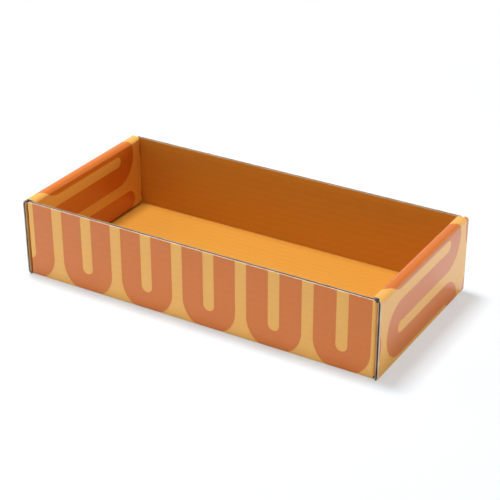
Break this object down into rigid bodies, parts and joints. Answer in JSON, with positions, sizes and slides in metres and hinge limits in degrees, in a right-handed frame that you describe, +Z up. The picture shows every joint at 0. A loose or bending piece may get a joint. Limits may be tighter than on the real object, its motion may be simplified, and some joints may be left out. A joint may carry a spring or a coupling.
{
  "type": "roll end tray",
  "caption": "Open rectangular shipping tray folded from one sheet of printed corrugated board, with single long walls and rolled double end walls.",
  "frame": {"origin": "centre of the tray's footprint, on the surface that it stands on", "axes": "+X along the length towards one rolled end, +Y across the width towards a long wall, +Z up out of the open top"},
  "size_m": [0.3228, 0.156, 0.068],
  "materials": {
    "printed_board": "matt printed white-top corrugated board, tan ground with terracotta bands"
  },
  "bodies": {
    "root": {"folded_tray": "printed_board"}
  },
  "joints": []
}
